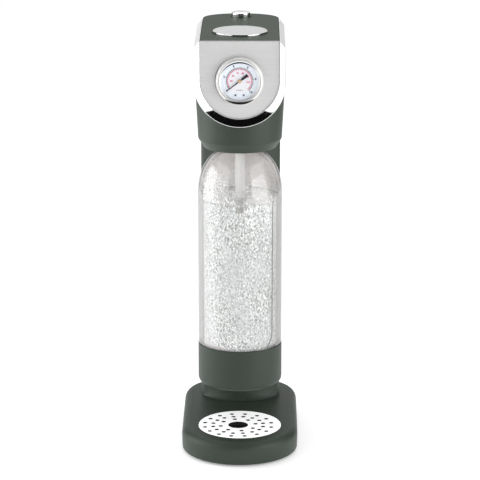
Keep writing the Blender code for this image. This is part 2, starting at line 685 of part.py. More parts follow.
def build_pipes(finish):
    tube("supply_pipe", [(0, CYL_Y - SOCKET_R - GAP, 391), (0, 48, 391), (0, 40.4, 391)], 2.0, finish["brass"])
    gauge_route = [(0, -27.6, 374), (0, -10, 374), (0, 5, 374.5), (0, 12, 379), (0, 14.3, 386)]
    gauge_route += [(0, 16.5, 390.5), (0, 21.6, 391.5)]
    tube("gauge_pipe", gauge_route, 1.5, finish["brass"])
    hose_route = [(-12.4, 30, 391.5), (-18, 30, 391.2), (-22.5, 30, 388), (-24, 29.6, 382)]
    hose_route += [(-25.5, 25, 370), (-29, 12, 357), (-32.5, -2, 348), (-33.7, -10, 345.4), (-33.7, -15.6, 345)]
    tube("gas_hose", hose_route, 2.0, finish["black"])


def main():
    for item in list(bpy.data.objects):
        bpy.data.objects.remove(item)
    finish = materials()
    build_base(finish)
    build_drip_tray(finish)
    build_column(finish)
    build_cylinder(finish)
    build_bottle(finish)
    build_seat(finish)
    build_head_body(finish)
    build_band(finish)
    build_panel(finish)
    build_gauge(finish)
    build_buttons(finish)
    build_lever(finish)
    build_chassis(finish)
    build_pipes(finish)
    for item in bpy.data.objects:
        if item.type == "MESH":
            item.data.shade_smooth()
            item.data.set_sharp_from_angle(angle=math.radians(35))


main()
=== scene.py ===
"""Soda carbonator: the looks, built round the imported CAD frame.

Blender 4.5. Shapes are worked out in millimetres from the boxes of the CAD nodes and stored in
metres. Each section makes one group of pieces; the materials come first.
"""

import json
import math
import random

import bmesh
import bpy
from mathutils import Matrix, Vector


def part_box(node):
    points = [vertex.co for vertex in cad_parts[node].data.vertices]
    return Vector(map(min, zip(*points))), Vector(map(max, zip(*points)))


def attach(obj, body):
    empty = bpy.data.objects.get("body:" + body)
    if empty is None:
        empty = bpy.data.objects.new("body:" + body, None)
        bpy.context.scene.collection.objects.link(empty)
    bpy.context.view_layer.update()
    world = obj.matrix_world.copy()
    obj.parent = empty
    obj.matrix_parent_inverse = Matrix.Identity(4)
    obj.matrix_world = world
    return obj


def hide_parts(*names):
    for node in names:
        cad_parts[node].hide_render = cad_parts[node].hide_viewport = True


MM = 0.001
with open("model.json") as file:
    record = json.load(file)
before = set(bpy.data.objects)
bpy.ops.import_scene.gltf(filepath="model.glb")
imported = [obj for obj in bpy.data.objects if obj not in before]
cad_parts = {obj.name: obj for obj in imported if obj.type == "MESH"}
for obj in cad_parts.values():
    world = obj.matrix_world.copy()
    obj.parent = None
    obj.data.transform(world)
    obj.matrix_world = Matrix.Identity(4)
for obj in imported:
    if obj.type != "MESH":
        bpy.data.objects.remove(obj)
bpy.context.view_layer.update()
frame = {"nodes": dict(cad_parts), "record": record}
random.seed(7)


def span(node):
    """A node's lowest and highest corners in millimetres."""
    low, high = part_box(node)
    return Vector(low) / MM, Vector(high) / MM


# ------------ node material helpers


class Shader:
    """A material's node tree, with short calls for the nodes used here."""

    def __init__(self, name):
        self.material = bpy.data.materials.new(name)
        self.material.use_nodes = True
        self.tree = self.material.node_tree
        self.main = self.tree.nodes["Principled BSDF"]
        self.output = self.tree.nodes["Material Output"]

    def node(self, kind, **values):
        made = self.tree.nodes.new(kind)
        for key, value in values.items():
            if key in made.inputs:
                made.inputs[key].default_value = value
            else:
                setattr(made, key, value)
        return made

    def link(self, source, target):
        self.tree.links.new(source, target)

    def set(self, **values):
        for key, value in values.items():
            self.main.inputs[key.replace("_", " ")].default_value = value
        return self

    def place(self, scale=(1, 1, 1)):
        """Object coordinates in millimetres times a scale."""
        coords = self.node("ShaderNodeTexCoord")
        mapping = self.node("ShaderNodeMapping")
        mapping.inputs["Scale"].default_value = [s / MM for s in scale]
        self.link(coords.outputs["Object"], mapping.inputs["Vector"])
        return mapping.outputs["Vector"]

    def noise(self, scale=(1, 1, 1), detail=2.0, rough=0.5):
        """Noise whose features are about 1/scale millimetres along each axis."""
        made = self.node("ShaderNodeTexNoise", Detail=detail, Roughness=rough, Scale=1.0)
        self.link(self.place(scale), made.inputs["Vector"])
        return made.outputs["Fac"]

    def ramp(self, factor, stops):
        made = self.node("ShaderNodeValToRGB")
        points = made.color_ramp.elements
        while len(points) < len(stops):
            points.new(0.5)
        for point, (place, colour) in zip(points, stops):
            point.position = place
            point.color = (*colour, 1) if len(colour) == 3 else colour
        self.link(factor, made.inputs["Fac"])
        return made.outputs["Color"]

    def grey_ramp(self, factor, low, high, start=0.3, end=0.7):
        return self.ramp(factor, [(start, (low,) * 3), (end, (high,) * 3)])

    def facing_share(self, stops):
        """A grey that depends on how far the surface turns from the view: 0 face on, 1 edge on."""
        facing = self.node("ShaderNodeLayerWeight", Blend=0.5)
        return self.ramp(facing.outputs["Facing"], [(at, (grey,) * 3) for at, grey in stops])

    def bump(self, height, strength, distance_mm):
        made = self.node("ShaderNodeBump", Strength=strength, Distance=distance_mm * MM)
        self.link(height, made.inputs["Height"])
        self.link(made.outputs["Normal"], self.main.inputs["Normal"])
        return self

    def remap(self, source, low, high, to_low, to_high, curve="LINEAR"):
        """The value carried from the range low..high to the range to_low..to_high, and held there."""
        made = self.node("ShaderNodeMapRange", interpolation_type=curve)
        made.inputs["From Min"].default_value = low
        made.inputs["From Max"].default_value = high
        made.inputs["To Min"].default_value = to_low
        made.inputs["To Max"].default_value = to_high
        self.link(source, made.inputs["Value"])
        return made.outputs["Result"]

    def sums(self, first, second, weight):
        """first + weight * second."""
        made = self.node("ShaderNodeMath", operation="MULTIPLY_ADD")
        made.inputs[1].default_value = weight
        self.link(second, made.inputs[0])
        self.link(first, made.inputs[2])
        return made.outputs["Value"]

    def pair(self, operation, first, second):
        """Two values joined by an operation of the Math node."""
        made = self.node("ShaderNodeMath", operation=operation)
        self.link(first, made.inputs[0])
        self.link(second, made.inputs[1])
        return made.outputs["Value"]

    def product(self, first, second):
        return self.pair("MULTIPLY", first, second)

    def blend(self, share, under, over):
        """The colour under with a share of another over it, which may be a plain one."""
        made = self.node("ShaderNodeMix", data_type="RGBA")
        self.link(share, made.inputs["Factor"])
        self.link(under, made.inputs[6])
        if isinstance(over, tuple):
            made.inputs[7].default_value = (*over, 1)
        else:
            self.link(over, made.inputs[7])
        return made.outputs[2]

    def mixed(self, share, under, over):
        """Two whole surfaces, with a share of the second over the first."""
        made = self.node("ShaderNodeMixShader")
        self.link(share, made.inputs["Fac"])
        self.link(under, made.inputs[1])
        self.link(over, made.inputs[2])
        return made.outputs["Shader"]

    def position(self):
        """The x, y and z of the point in millimetres."""
        spot = self.node("ShaderNodeSeparateXYZ")
        self.link(self.place(), spot.inputs["Vector"])
        return tuple(spot.outputs[axis] for axis in "XYZ")

    def colour(self, source):
        self.link(source, self.main.inputs["Base Color"])

    def glow_colour(self, source):
        self.link(source, self.main.inputs["Emission Color"])

    def roughness(self, source):
        self.link(source, self.main.inputs["Roughness"])


def tint(colour, amount):
    return tuple(c * amount for c in colour)


def light_up(material, strength):
    """Let a material give back a little more white light than falls on it."""
    surface = material.node_tree.nodes["Principled BSDF"].inputs
    surface["Emission Color"].default_value = (1, 1, 1, 1)
    surface["Emission Strength"].default_value = strength
    return material


def moulded_plastic(name, colour, rough, grain=1.6, gloss=0.5):
    """Satin moulding: faint colour drift, fine spark-eroded grain."""
    shader = Shader(name).set(Specular_IOR_Level=gloss)
    drift = shader.noise((0.03, 0.03, 0.03), 3)
    shader.colour(shader.ramp(drift, [(0.3, tint(colour, 0.96)), (0.7, tint(colour, 1.04))]))
    grain_noise = shader.noise((grain,) * 3, 3, 0.6)
    shader.roughness(shader.grey_ramp(grain_noise, rough - 0.04, rough + 0.05))
    shader.bump(grain_noise, 0.12, 0.06)
    return shader.material


def brushed_metal(name, colour, along, rough, metallic=1.0):
    """Fine brush lines that run along one axis."""
    shader = Shader(name).set(Metallic=metallic)
    scale = [0.03 if axis == along else 9.0 for axis in range(3)]
    lines = shader.noise(scale, 3, 0.7)
    broad = shader.noise([s * 0.25 for s in scale], 2)
    shader.colour(shader.ramp(broad, [(0.35, tint(colour, 0.97)), (0.65, tint(colour, 1.03))]))
    shader.roughness(shader.grey_ramp(lines, rough - 0.05, rough + 0.07))
    shader.bump(lines, 0.04, 0.02)
    return shader.material


def polished_metal(name, colour, rough, metallic=1.0):
    """Polished plate with faint wipe marks in its gloss."""
    shader = Shader(name).set(Metallic=metallic)
    haze = shader.noise((0.12, 0.3, 0.12), 4, 0.6)
    shader.roughness(shader.grey_ramp(haze, rough, rough + 0.05))
    shader.colour(shader.ramp(haze, [(0.2, tint(colour, 0.985)), (0.8, colour)]))
    return shader.material


def printed(name, colour, rough=0.45):
    """Flat print with slightly uneven ink."""
    shader = Shader(name)
    ink = shader.noise((1.2, 1.2, 1.2), 2)
    shader.colour(shader.ramp(ink, [(0.3, tint(colour, 0.96)), (0.7, tint(colour, 1.03))]))
    shader.roughness(shader.grey_ramp(ink, rough - 0.05, rough + 0.05))
    return shader.material


def show_behind(shader, cover, gloss_rough):
    """Put a clear skin in place of the material where cover is low; it mirrors more at a slant."""
    clear = shader.node("ShaderNodeBsdfTransparent")
    gloss = shader.node("ShaderNodeBsdfGlossy", Roughness=gloss_rough)
    slant = shader.node("ShaderNodeLayerWeight", Blend=0.5)
    steep = shader.node("ShaderNodeMath", operation="POWER")
    steep.inputs[1].default_value = 4.0
    shader.link(slant.outputs["Facing"], steep.inputs[0])
    shine = shader.remap(steep.outputs["Value"], 0.0, 1.0, 0.05, 0.55)
    skin = shader.mixed(shine, clear.outputs["BSDF"], gloss.outputs["BSDF"])
    whole = shader.mixed(cover, skin, shader.main.outputs["BSDF"])
    shader.link(whole, shader.output.inputs["Surface"])


def see_through(name, colour, middle, edge, rough):
    """Clear plastic: cover goes from middle, face on, to edge, where the wall is seen edge on."""
    shader = Shader(name).set(Roughness=rough, IOR=1.45)
    marks = shader.noise((0.05, 0.05, 0.2), 3)
    shader.colour(shader.ramp(marks, [(0.3, tint(colour, 0.94)), (0.7, colour)]))
    stops = ((0.48, middle), (0.53, edge * 1.15), (0.62, edge * 0.85), (0.8, edge))
    cover = shader.facing_share(stops)
    thinning = shader.remap(shader.position()[2], 262, 286, 1.0, 0.4)
    show_behind(shader, shader.product(cover, thinning), rough)
    return shader.material


def frosted(name, colour, glow):
    """Milky plastic with a painted glow, and painted shade that darkens its right side."""
    shader = Shader(name).set(Roughness=0.25, Emission_Strength=glow)
    streaks = shader.noise((0.5, 0.5, 0.04), 3)
    pale = shader.ramp(streaks, [(0.3, tint(colour, 0.93)), (0.7, colour)])
    # Painted shade: the colour darkens towards the right by position, and the same colour is given
    # back as painted glow.
    painted_shade_right = shader.remap(shader.position()[0], -1.5, 2.5, 0.0, 0.75)
    look = shader.blend(painted_shade_right, pale, tint(colour, 0.62))
    shader.colour(look)
    shader.glow_colour(look)
    return shader.material


def fizz(shader):
    """White and grey grains, as of water full of bubbles: returns the noise and its colour."""
    coords = shader.place((0.85, 0.85, 0.6))
    warp = shader.node("ShaderNodeTexNoise", Scale=0.3, Detail=2.0)
    shader.link(coords, warp.inputs["Vector"])
    bend = shader.node("ShaderNodeVectorMath", operation="MULTIPLY_ADD")
    bend.inputs[1].default_value = (2.6, 2.6, 2.6)
    shader.link(warp.outputs["Color"], bend.inputs[0])
    shader.link(coords, bend.inputs[2])
    cells = shader.node("ShaderNodeTexNoise", Scale=0.8, Detail=3.5, Roughness=0.62, Distortion=0.7)
    shader.link(bend.outputs["Vector"], cells.inputs["Vector"])
    noise = cells.outputs["Fac"]
    greys = ((0.36, 0.19), (0.46, 0.45), (0.54, 0.68), (0.64, 0.98))
    return noise, shader.ramp(noise, [(at, (g * 0.985, g, g * 0.99)) for at, g in greys])


SIGHT_SLOPE = 0.264
TUBE_END_Z = 233.0


def before_tube(shader, x, y):
    """1 where a skin stands in front of the dip tube and is seen from the front, 0 elsewhere.

    The upper pair of stops is the water's surface, which the same view meets at a slant.
    """
    aside = shader.node("ShaderNodeMath", operation="ABSOLUTE")
    shader.link(x, aside.inputs[0])
    across = shader.remap(aside.outputs["Value"], 3.2, 4.6, 1.0, 0.0)
    ahead = shader.remap(y, -20, -17, 1.0, 0.0)
    stops = ((0.055, 1.0), (0.085, 0.0), (0.69, 0.0), (0.71, 1.0), (0.79, 1.0), (0.81, 0.0))
    square_on = shader.facing_share(stops)
    return shader.product(shader.product(across, ahead), square_on)


def misted_plastic(name, colour, front, back, glow):
    """Condensation, thin over the front and thick towards the column, with a splash at its foot; the
    pale back is partly painted light, and the mist has a painted glow.
    """
    shader = Shader(name).set(Roughness=0.35, Emission_Strength=glow)
    patches = shader.noise((0.05, 0.05, 0.035), 4, 0.6)
    haze = shader.ramp(patches, [(0.35, tint(colour, 0.86)), (0.65, colour)])
    x, y, z = shader.position()
    # Partly painted light: the mist thickens towards the column and shows pale where the curved wall
    # would bring in the white surroundings.
    misted = shader.remap(y, -38, -8, front, back, "SMOOTHSTEP")
    cells, grains = fizz(shader)
    patch = shader.remap(shader.noise((0.09, 0.09, 0.09), 4, 0.6), 0.3, 0.7, -16, 16)
    tide = shader.sums(z, shader.sums(patch, x, 0.45), 1.0)
    amount = shader.remap(tide, 256, 286, 0.95, 0.0)
    splash = shader.product(amount, shader.remap(cells, 0.47, 0.56, 0.0, 1.0))
    parting = shader.remap(before_tube(shader, x, y), 0.0, 1.0, 1.0, 0.15)
    splash = shader.product(splash, parting)
    look = shader.blend(splash, haze, grains)
    shader.colour(look)
    # Painted glow: the mist gives back its own colour as light.
    shader.glow_colour(look)
    show_behind(shader, shader.pair("MAXIMUM", misted, splash), 0.12)
    return shader.material


def fizzy_water(name):
    """Water so full of bubbles that it looks like grains; it clears in front of the dip tube.

    A paler cloud, a painted grey rim of edge shade, a painted dark refraction line on the right and a
    warm foot lie over the grains; a painted glow, stronger near the top and on the left, lights them.
    """
    shader = Shader(name).set(Roughness=0.2, IOR=1.33)
    cells, grains = fizz(shader)
    cloud = shader.noise((0.04, 0.04, 0.022), 4, 0.6)
    pale = shader.grey_ramp(cloud, 0.0, 0.5, 0.42, 0.68)
    grains = shader.blend(pale, grains, (0.60, 0.61, 0.61))
    # Painted shade: the grains turn grey where the surface is seen edge on.
    rim = shader.facing_share(((0.34, 0.0), (0.46, 0.3), (0.76, 0.42), (0.88, 0.92)))
    grains = shader.blend(rim, grains, (0.36, 0.37, 0.36))
    x, y, z = shader.position()
    # Painted refraction: a dark line where the right side turns away from the view.
    line = shader.facing_share(((0.41, 0.0), (0.425, 0.8), (0.45, 0.8), (0.465, 0.0)))
    line = shader.product(line, shader.remap(x, 0, 8, 0.0, 1.0))
    grains = shader.blend(line, grains, (0.14, 0.15, 0.14))
    foot = shader.remap(shader.sums(z, x, 0.42), 99.0, 103.0, 0.8, 0.0)
    grains = shader.blend(foot, grains, (0.55, 0.535, 0.53))
    shader.colour(grains)
    # Painted glow in the grains' colour, stronger near the top, where the head shades the water, and
    # on the left, where the light is.
    shader.glow_colour(grains)
    painted_light_left = shader.remap(x, -30, 30, 0.18, -0.14)
    painted_light_left = shader.product(painted_light_left, shader.remap(z, 225, 256, 1.0, 0.0))
    strength = shader.pair("ADD", shader.remap(z, 225, 256, 0.18, 0.33), painted_light_left)
    shader.link(strength, shader.main.inputs["Emission Strength"])
    sight_height = shader.sums(z, y, SIGHT_SLOPE)
    height = shader.remap(sight_height, TUBE_END_Z, TUBE_END_Z + 2, 0.0, 0.9)
    window = shader.product(height, before_tube(shader, x, y))
    show_behind(shader, shader.remap(window, 0.0, 1.0, 0.98, 0.0), 0.1)
    shader.bump(cells, 0.8, 0.7)
    return shader.material


GREEN = (0.030, 0.042, 0.031)
FINISH = {
    "body": moulded_plastic("green_plastic", GREEN, 0.48, 1.6, 0.35),
    "black": moulded_plastic("black_plastic", (0.012, 0.012, 0.013), 0.5),
    "rubber": moulded_plastic("black_rubber", (0.02, 0.02, 0.02), 0.78, 3.0),
    "screws": brushed_metal("plain_steel", (0.55, 0.55, 0.57), 2, 0.28),
    "grid": moulded_plastic("white_grid", (0.94, 0.945, 0.95), 0.3),
    "brushed": brushed_metal("brushed_plate", (0.67, 0.665, 0.665), 0, 0.4, 0.25),
    "satin": brushed_metal("satin_ends", (0.62, 0.62, 0.62), 1, 0.4, 0.2),
    "cover": moulded_plastic("cover_plastic", (0.030, 0.046, 0.030), 0.5, 1.6, 0.22),
    "chrome": polished_metal("chrome", (0.93, 0.93, 0.94), 0.03),
    "bezel": polished_metal("satin_bezel", (0.76, 0.76, 0.75), 0.2, 0.45),
    "hub": printed("cream_hub", (0.70, 0.46, 0.27), 0.3),
    "brass": polished_metal("turned_brass", (0.72, 0.5, 0.26), 0.22),
    "cylinder": moulded_plastic("cylinder_paint", (0.42, 0.44, 0.46), 0.35),
    # The bottle's dark grey shows where the wall is seen edge on: painted shade for the dark edges
    # that refraction gives.
    "bottle": see_through("clear_bottle", (0.29, 0.29, 0.285), 0.02, 0.75, 0.1),
    "mist": misted_plastic("misted_wall", (0.78, 0.75, 0.74), 0.12, 0.92, 0.22),
    "water": fizzy_water("fizzy_water"),
    "bubble": see_through("bubble_skin", (0.93, 0.94, 0.94), 0.4, 0.9, 0.08),
    "tube": frosted("frosted_tube", (0.86, 0.86, 0.85), 0.3),
    "tip": frosted("tube_tip", (0.60, 0.58, 0.54), 0.35),
    "dial": printed("dial_blue_white", (0.82, 0.88, 0.97)),
    "dial_inner": printed("dial_white", (0.90, 0.90, 0.95)),
    "lens": see_through("gauge_glass", (0.9, 0.93, 0.97), 0.01, 0.3, 0.03),
    "pink": printed("print_pink", (0.80, 0.19, 0.30)),
    "teal": printed("print_teal", (0.06, 0.14, 0.16)),
    "painted_dark_shade": printed("painted_black_shade", (0.002, 0.002, 0.002), 0.95),
    "shade": printed("print_shade", (0.03, 0.045, 0.07)),
    "painted_bezel_shadow": printed("painted_bezel_shadow", (0.22, 0.22, 0.22), 0.9),
    "ink": printed("print_black", (0.012, 0.014, 0.02)),
}


# ------------ mesh helpers


def mesh_of(name, bm):
    """The bmesh as a mesh; the bmesh is given up."""
    mesh = bpy.data.meshes.new(name)
    bm.to_mesh(mesh)
    bm.free()
    return mesh


def in_scene(name, data):
    """A new object in the scene."""
    made = bpy.data.objects.new(name, data)
    bpy.context.scene.collection.objects.link(made)
    return made


def final_shape(item):
    """An object with its modifiers or outlines worked out, as a bmesh."""
    bpy.context.view_layer.update()
    evaluated = item.evaluated_get(bpy.context.evaluated_depsgraph_get())
    bm = bmesh.new()
    bm.from_mesh(bpy.data.meshes.new_from_object(evaluated))
    return bm


def finish_piece(name, bm, body, slot, finish=None, stands_for=(), smooth=32.0):
    """A bmesh in millimetres becomes a piece on a body, with the material of its finish, or of its
    slot when no finish is given.
    """
    bmesh.ops.recalc_face_normals(bm, faces=bm.faces)
    bmesh.ops.scale(bm, vec=(MM, MM, MM), verts=bm.verts)
    mesh = mesh_of(name, bm)
    piece = in_scene(name, mesh)
    mesh.materials.append(FINISH[finish or slot])
    mesh.shade_smooth()
    mesh.set_sharp_from_angle(angle=math.radians(smooth))
    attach(piece, body)
    if stands_for:
        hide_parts(*stands_for)
    return piece


def loft(rings, closed=False):
    """A skin over rings of equal length, capped unless the last ring joins the first."""
    bm = bmesh.new()
    loops = [[bm.verts.new(p) for p in ring] for ring in rings]
    following = loops[1:] + loops[:1] if closed else loops[1:]
    count = len(rings[0])
    for low, high in zip(loops, following):
        for i in range(count):
            j = (i + 1) % count
            bm.faces.new((low[i], low[j], high[j], high[i]))
    if not closed:
        bm.faces.new(loops[0][::-1])
        bm.faces.new(loops[-1])
    return bm


def level(outline, z):
    """A plan outline at one height."""
    return [(x, y, z) for x, y in outline]


def prism(outline, low, high):
    """A plan outline drawn up from z = low to z = high."""
    return loft([level(outline, low), level(outline, high)])


def circle(x, y, radius, sides=64):
    turn = 2 * math.pi / sides
    return [(x + radius * math.cos(i * turn), y + radius * math.sin(i * turn)) for i in range(sides)]


def turned(profile, x, y, sides=96, closed=False):
    """A lathe about a vertical axis; profile is (radius, z)."""
    return loft([level(circle(x, y, r, sides), z) for r, z in profile], closed)


def turned_y(profile, x, z, sides=96, closed=False):
    """A lathe about an axis along Y; profile is (radius, y)."""
    rings = [[(px, y, pz) for px, pz in circle(x, z, r, sides)] for r, y in profile]
    return loft(rings, closed)


def rounded(profile, radius, steps=4, closed=False):
    """The profile with each corner turned into a short arc of about the radius."""
    count = len(profile)
    out = []
    for i, corner in enumerate(profile):
        if not closed and i in (0, count - 1):
            out.append(corner)
            continue
        p, c, n = (Vector(q) for q in (profile[i - 1], corner, profile[(i + 1) % count]))
        before, after = p - c, n - c
        cut = min(radius, before.length * 0.45, after.length * 0.45)
        if cut < 1e-4 or abs(before.normalized().dot(after.normalized())) > 0.995:
            out.append(corner)
            continue
        start = c + before.normalized() * cut
        end = c + after.normalized() * cut
        for k in range(steps + 1):
            t = k / steps
            point = start * (1 - t) ** 2 + c * (2 * t * (1 - t)) + end * t**2
            out.append(tuple(point))
    return out


def joined(shapes):
    """Separate shapes in one bmesh."""
    whole = bmesh.new()
    for shape in shapes:
        bmesh.ops.recalc_face_normals(shape, faces=shape.faces)
        mesh = mesh_of("shape", shape)
        whole.from_mesh(mesh)
        bpy.data.meshes.remove(mesh)
    return whole


def carved(base, cutters):
    """The bmesh with the cutters taken away by exact booleans."""
    objects = []
    for bm in (base, *cutters):
        bmesh.ops.recalc_face_normals(bm, faces=bm.faces)
        objects.append(in_scene("carve", mesh_of("carve", bm)))
    target = objects[0]
    for tool in objects[1:]:
        modifier = target.modifiers.new("carve", "BOOLEAN")
        modifier.operation = "DIFFERENCE"
        modifier.solver = "EXACT"
        modifier.object = tool
    out = final_shape(target)
    for item in objects:
        bpy.data.objects.remove(item)
    return out


def bevelled(piece, width_mm, segments=3, angle=40.0):
    """Round the piece's sharp edges, as a moulding's are."""
    modifier = piece.modifiers.new("edges", "BEVEL")
    modifier.width = width_mm * MM
    modifier.segments = segments
    modifier.limit_method = "ANGLE"
    modifier.angle_limit = math.radians(angle)
    modifier.use_clamp_overlap = True
    piece.data.set_sharp_from_angle(angle=math.radians(angle + 20))
    return piece


def half_turn(half_x, half_y, middle, start, sides):
    """Half an ellipse about (0, middle), in plan or in the XZ plane, from the start angle on."""
    angles = [start + math.pi * i / sides for i in range(sides + 1)]
    return [(half_x * math.cos(a), middle + half_y * math.sin(a)) for a in angles]


def superellipse(angle, half_x, half_y, power):
    """A point on an ellipse whose corners fill out as the power rises above 2."""
    c, s = math.cos(angle), math.sin(angle)
    x = math.copysign(abs(c) ** (2 / power), c) * half_x
    y = math.copysign(abs(s) ** (2 / power), s) * half_y
    return x, y


# ------------ base

BASE_LOW, BASE_HIGH = span("base_shell")
GRID_LOW, GRID_HIGH = span("drip_grid")
GRID_Y = (GRID_LOW.y + GRID_HIGH.y) / 2
GRID_R = (GRID_HIGH.x - GRID_LOW.x) / 2
BASE_R = (BASE_HIGH.x - BASE_LOW.x) / 2
BASE_BACK_DEPTH = 46.0
BASE_FILLET = 8.5
WELL_FLOOR = 6.7
UNDER_RECESS = 2.8
HOLE_R = 2.25
MIDDLE_HOLE_R = 10.1


def base_outline(inset, sides=48):
    radius = BASE_R - inset
    side_y = BASE_HIGH.y - BASE_BACK_DEPTH
    front = half_turn(radius, radius, GRID_Y, math.pi, sides)
    back = []
    for i in range(1, sides):
        x, y = superellipse(math.pi * i / sides, radius, BASE_BACK_DEPTH - inset * 0.15, 2.5)
        back.append((x, side_y + y))
    return front + [(radius, side_y)] + back + [(-radius, side_y)]


def make_base():
    levels = [(BASE_LOW.z, 1.8), (BASE_LOW.z + 0.7, 0.9), (BASE_LOW.z + 1.8, 0.4)]
    for i in range(13):
        turn = math.pi / 2 * i / 12
        z = BASE_HIGH.z - BASE_FILLET * (1 - math.sin(turn))
        levels.append((z, BASE_FILLET * (1 - math.cos(turn))))
    rings = [level(base_outline(inset), z) for z, inset in levels]
    well = prism(circle(0, GRID_Y, GRID_R + 0.45, 128), BASE_LOW.z + WELL_FLOOR, BASE_HIGH.z + 2)
    under = prism(base_outline(3.0), BASE_LOW.z - 2, BASE_LOW.z + UNDER_RECESS)
    shape = carved(loft(rings), [well, under])
    shell = finish_piece("base_skin", shape, "root", "body", None, ["base_shell"])
    bevelled(shell, 0.4, 2)


def make_grid():
    """A white disc whose hole pattern sits a little off its middle; the holes' walls are black,
    painted shade that darkens the holes.
    """
    under = GRID_HIGH.z - 0.7
    rim = [(GRID_R - 0.8, under), (GRID_R - 0.8, GRID_LOW.z), (GRID_R, GRID_LOW.z)]
    rim += [(GRID_R, GRID_HIGH.z - 0.4), (GRID_R - 0.4, GRID_HIGH.z)]
    mid_x, mid_y = -1.6, GRID_Y - 2.2
    cuts = [prism(circle(mid_x, mid_y, MIDDLE_HOLE_R, 64), GRID_LOW.z - 1, GRID_HIGH.z + 1)]
    for radius, count in ((18.0, 8), (25.8, 16), (34.3, 16)):
        for i in range(count):
            a = math.pi / 16 + 2 * math.pi * i / count
            x, y = mid_x + radius * math.cos(a), mid_y + radius * math.sin(a)
            cuts.append(prism(circle(x, y, HOLE_R, 20), GRID_LOW.z - 1, GRID_HIGH.z + 1))
    disc = carved(turned(rounded(rim, 0.3), 0, GRID_Y, 128), [joined(cuts)])
    grid = finish_piece("perforated_grid", disc, "grid", "grid", None, ["drip_grid"])
    # Painted shade: the hole walls take the black finish so that the holes read dark.
    grid.data.materials.append(FINISH["black"])
    for face in grid.data.polygons:
        spot = face.center / MM
        if abs(face.normal.z) < 0.5 and math.hypot(spot.x, spot.y - GRID_Y) < GRID_R - 2:
            face.material_index = 1


def make_tray():
    low, high = span("drip_tray")
    radius = (high.x - low.x) / 2
    inner = radius - 2
    profile = [(inner, low.z), (radius, low.z + 2), (radius, high.z)]
    profile += [(inner, high.z), (inner, low.z + 3.5), (inner - 1.5, low.z + 2)]
    pan = turned(rounded(profile, 0.8), 0, GRID_Y)
    finish_piece("tray_pan", pan, "tray", "black", None, ["drip_tray"])


# ------------ column and rear cover

COLUMN_LOW, COLUMN_HIGH = span("column_shell")
COVER_LOW, COVER_HIGH = span("rear_cover")
COLUMN_HALF = (COVER_HIGH.x - COVER_LOW.x) / 2
COLUMN_FRONT_Y = 32.7
COLUMN_FRONT_R = 59.0
COLUMN_CORNER_X = 35.0
COLUMN_BACK_Y = COLUMN_HIGH.y
COLUMN_WALL = 3.0
FOOT_HEIGHT, FOOT_FLARE = 14.0, 8.0
COVER_WALL = 2.5
VENT_COUNT, VENT_PITCH, VENT_HEIGHT = 6, 6.5, 2.6
VENT_FOOT, VENT_HALF = 36.0, 14.0


def column_path(inset, flare=0.0):
    """The column in plan, round its front; the flare pushes the front out and fades at the sides."""
    half = COLUMN_HALF - inset
    corner_x = COLUMN_CORNER_X - inset * 0.6
    radius = COLUMN_FRONT_R - inset
    centre_y = COLUMN_FRONT_Y + COLUMN_FRONT_R
    points = []
    for i in range(25):
        x = corner_x * i / 24
        points.append((x, centre_y - math.sqrt(radius * radius - x * x)))
    corner_y = points[-1][1]
    slope = math.atan2(corner_x, math.sqrt(radius**2 - corner_x**2))
    for i in range(1, 13):
        turn = slope + (math.pi / 2 - slope) * i / 12
        reach = (math.sin(turn) - math.sin(slope)) / (1 - math.sin(slope))
        drop = (math.cos(slope) - math.cos(turn)) / math.cos(slope)
        points.append((corner_x + (half - corner_x) * reach, corner_y + 7.5 * drop))
    last = points[-1][1]
    for i in range(1, 9):
        points.append((half, last + (COLUMN_BACK_Y - last) * i / 8))
    out = [(x, y - flare * (1 - (x / half) ** 4)) for x, y in points]
    return [(-x, y) for x, y in out[:0:-1]] + out


def make_column():
    inner = column_path(COLUMN_WALL)[::-1]
    rings = []
    for i in range(17):
        t = i / 16
        flare = FOOT_FLARE * (1 - math.sqrt(1 - (1 - t) ** 2))
        rings.append(level(column_path(0, flare) + inner, COLUMN_LOW.z + FOOT_HEIGHT * t))
    rings.append(level(column_path(0) + inner, COLUMN_HIGH.z))
    finish_piece("column_skin", loft(rings), "root", "body", None, ["column_shell"])


def rear_path(inset, sides=48):
    half_y = COVER_HIGH.y - COVER_LOW.y - inset
    return half_turn(COLUMN_HALF - inset, half_y, COVER_LOW.y, 0.0, sides)


def make_rear_cover():
    levels = [(COVER_LOW.z, 0.8), (COVER_LOW.z + 0.8, 0.0), (COVER_HIGH.z - 3.2, 0.0)]
    levels += [(COVER_HIGH.z - 1.2, 0.35), (COVER_HIGH.z, 1.4)]
    inner = rear_path(COVER_WALL)[::-1]
    shell = loft([level(rear_path(inset) + inner, z) for z, inset in levels])
    vents = []
    plan = [(-VENT_HALF, 90), (VENT_HALF, 90), (VENT_HALF, 120), (-VENT_HALF, 120)]
    for i in range(VENT_COUNT):
        z = COVER_LOW.z + VENT_FOOT + i * VENT_PITCH
        vents.append(prism(plan, z, z + VENT_HEIGHT))
    shape = carved(shell, [joined(vents)])
    finish_piece("cover_skin", shape, "cover", "body", None, ["rear_cover"])


# ------------ head

